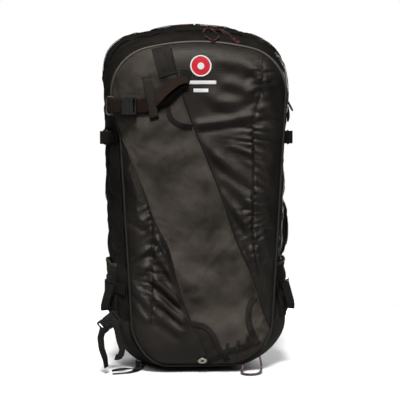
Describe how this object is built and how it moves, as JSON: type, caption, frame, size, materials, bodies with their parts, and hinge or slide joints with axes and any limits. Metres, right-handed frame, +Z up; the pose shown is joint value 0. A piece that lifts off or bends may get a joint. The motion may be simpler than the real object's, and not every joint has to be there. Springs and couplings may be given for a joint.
{
  "type": "avalanche airbag backpack",
  "caption": "Zip-closed ski-touring backpack with an airbag packed in its rear rim, a trigger handle, ski strap, shoulder harness and hip belt.",
  "frame": {"origin": "middle of the pack's flat base, on the surface that it stands on", "axes": "+Z up along the pack, +Y towards the wearer's back, -Y out of the front panel, +X towards the wearer's right"},
  "size_m": [0.3693, 0.3621, 0.6289],
  "materials": {
    "shell_nylon": "semi-gloss coated ripstop nylon",
    "heavy_fabric": "matt heavy woven nylon",
    "boot_fabric": "matt coarse woven nylon",
    "stretch_fabric": "matt stretch mesh",
    "lining": "matt lining",
    "piping": "satin bound piping",
    "webbing": "ribbed polyester webbing",
    "padding": "matt spacer mesh over foam",
    "buckle_plastic": "satin moulded acetal",
    "zip_tape": "coated zip tape with coil",
    "slider_metal": "black enamel",
    "pull_cord": "red and black flecked cord",
    "axe_cord": "pinkish grey braided cord",
    "eyelet_metal": "bright plated",
    "airbag_fabric": "coated nylon, folded",
    "cylinder_metal": "satin",
    "valve_brass": "satin",
    "needle_red": "matt",
    "inflator_plastic": "satin",
    "hose_rubber": "matt",
    "trigger_red": "satin"
  },
  "bodies": {
    "pack": {"front_panel": "shell_nylon", "base_boot": "boot_fabric", "main_shell": "shell_nylon", "airbag_cover": "shell_nylon", "back_wall": "lining", "ski_panel": "heavy_fabric", "eyelet": "eyelet_metal", "front_piping": "piping", "zip_tracks": "zip_tape", "shoulder_strap_left": "padding", "shoulder_strap_right": "padding", "shoulder_webbing": "webbing", "fixed_locks": "buckle_plastic", "compression_webbing": "webbing", "back_pads": "padding", "airbag_folded": "airbag_fabric", "gas_cylinder": "cylinder_metal", "cylinder_bands": "webbing", "valve_body": "valve_brass", "inflator": "inflator_plastic", "inflation_hose": "hose_rubber", "handle_holder": "inflator_plastic", "trigger_cable": "hose_rubber", "frame_sheet": "inflator_plastic", "frame_stays": "cylinder_metal", "ski_buckle_female": "buckle_plastic", "ski_strap_webbing": "webbing", "ski_webbing_fixed": "webbing", "leg_buckle_female": "buckle_plastic", "leg_strap_webbing": "webbing", "side_pockets": "stretch_fabric", "ice_axe_loop": "axe_cord"},
    "upper_left_lock": {"upper_left_lock": "buckle_plastic"},
    "upper_right_lock": {"upper_right_lock": "buckle_plastic"},
    "sternum_strap": {"sternum_clips": "buckle_plastic", "sternum_webbing": "webbing", "sternum_buckle_female": "buckle_plastic"},
    "sternum_plug": {"sternum_buckle_male": "buckle_plastic"},
    "hip_left": {"hip_wing_left": "padding", "hip_webbing_left": "webbing", "hip_buckle_female": "buckle_plastic"},
    "hip_right": {"hip_wing_right": "padding", "hip_webbing_right": "webbing", "hip_buckle_male": "buckle_plastic"},
    "haul_loop": {"haul_loop": "webbing"},
    "release_lever": {"release_lever": "valve_brass"},
    "gauge_needle": {"gauge_needle": "needle_red"},
    "trigger_handle": {"trigger_handle": "trigger_red"},
    "ski_plug": {"ski_buckle_male": "buckle_plastic"},
    "leg_plug": {"leg_buckle_male": "buckle_plastic"},
    "main_slider_left": {"main_slider_left": "slider_metal"},
    "main_pull_left": {"main_pull_left": "pull_cord"},
    "main_slider_right": {"main_slider_right": "slider_metal"},
    "main_pull_right": {"main_pull_right": "pull_cord"},
    "airbag_slider": {"airbag_slider": "slider_metal"},
    "airbag_pull": {"airbag_pull": "pull_cord"},
    "side_slider_front": {"side_slider_front": "slider_metal"},
    "side_pull_front": {"side_pull_front": "pull_cord"},
    "side_slider_back": {"side_slider_back": "slider_metal"},
    "side_pull_back": {"side_pull_back": "pull_cord"}
  },
  "joints": [
    {"name": "trigger_pull", "type": "slide", "parent": "pack", "child": "trigger_handle", "axis": [0, 0, -1], "range_m": [0, 0.03]},
    {"name": "release_lever_turn", "type": "hinge", "parent": "pack", "child": "release_lever", "pos_m": [0.068, 0.005, 0.374], "axis": [0, 1, 0], "range_deg": [-41, 0]},
    {"name": "gauge_needle_turn", "type": "hinge", "parent": "pack", "child": "gauge_needle", "pos_m": [0.095, -0.022, 0.374], "axis": [0, 1, 0], "range_deg": [-120, 60]},
    {"name": "upper_left_lock_tilt", "type": "hinge", "parent": "pack", "child": "upper_left_lock", "pos_m": [-0.167, -0.0353, 0.421], "axis": [0, 0, -1], "range_deg": [0, 25]},
    {"name": "upper_right_lock_tilt", "type": "hinge", "parent": "pack", "child": "upper_right_lock", "pos_m": [0.167, -0.0353, 0.421], "axis": [0, 0, 1], "range_deg": [0, 25]},
    {"name": "sternum_height", "type": "slide", "parent": "pack", "child": "sternum_strap", "axis": [0, 0, 1], "range_m": [-0.025, 0.025]},
    {"name": "sternum_release", "type": "slide", "parent": "sternum_strap", "child": "sternum_plug", "axis": [1, 0, 0], "range_m": [0, 0.016]},
    {"name": "hip_left_swing", "type": "hinge", "parent": "pack", "child": "hip_left", "pos_m": [-0.132, 0.111, 0.117], "axis": [0, 0, 1], "range_deg": [0, 50]},
    {"name": "hip_right_swing", "type": "hinge", "parent": "pack", "child": "hip_right", "pos_m": [0.132, 0.111, 0.117], "axis": [0, 0, -1], "range_deg": [0, 50]},
    {"name": "haul_loop_lift", "type": "hinge", "parent": "pack", "child": "haul_loop", "pos_m": [0, 0.112, 0.594], "axis": [1, 0, 0], "range_deg": [0, 80]},
    {"name": "ski_buckle_release", "type": "slide", "parent": "pack", "child": "ski_plug", "axis": [0.9901, -0.14, 0], "range_m": [0, 0.014]},
    {"name": "leg_buckle_release", "type": "slide", "parent": "pack", "child": "leg_plug", "axis": [-0.7848, 0, -0.6198], "range_m": [0, 0.015]},
    {"name": "main_slider_left_run", "type": "hinge", "parent": "pack", "child": "main_slider_left", "pos_m": [0, -0.025, 0.221], "axis": [0, 1, 0], "range_deg": [-15, 0]},
    {"name": "main_slider_right_run", "type": "hinge", "parent": "pack", "child": "main_slider_right", "pos_m": [0, -0.025, 0.221], "axis": [0, 1, 0], "range_deg": [0, 8]},
    {"name": "airbag_slider_run", "type": "hinge", "parent": "pack", "child": "airbag_slider", "pos_m": [0, 0.072, 0.2306], "axis": [0, 1, 0], "range_deg": [-10, 12]},
    {"name": "side_slider_front_run", "type": "slide", "parent": "pack", "child": "side_slider_front", "axis": [0.033, 0, 0.9995], "range_m": [-0.044, 0.02]},
    {"name": "side_slider_back_run", "type": "slide", "parent": "pack", "child": "side_slider_back", "axis": [0.033, 0, 0.9995], "range_m": [-0.058, 0.006]},
    {"name": "main_pull_left_lift", "type": "hinge", "parent": "main_slider_left", "child": "main_pull_left", "pos_m": [0.02075, -0.0318, 0.616], "axis": [-1, 0, 0], "range_deg": [0, 100]},
    {"name": "main_pull_right_lift", "type": "hinge", "parent": "main_slider_right", "child": "main_pull_right", "pos_m": [0.04325, -0.0318, 0.6138], "axis": [-1, 0, 0], "range_deg": [0, 100]},
    {"name": "airbag_pull_lift", "type": "hinge", "parent": "airbag_slider", "child": "airbag_pull", "pos_m": [0, 0.07225, 0.6273], "axis": [0, 1, 0], "range_deg": [0, 150]},
    {"name": "side_pull_front_lift", "type": "hinge", "parent": "side_slider_front", "child": "side_pull_front", "pos_m": [0.1694, 0.0021, 0.4755], "axis": [0, -1, 0], "range_deg": [0, 120]},
    {"name": "side_pull_back_lift", "type": "hinge", "parent": "side_slider_back", "child": "side_pull_back", "pos_m": [0.1714, 0.04015, 0.4895], "axis": [0, -1, 0], "range_deg": [0, 120]}
  ],
  "couplings": [
    {"joint": "release_lever_turn", "follows": "trigger_pull", "rad_per_m": -23.27}
  ]
}
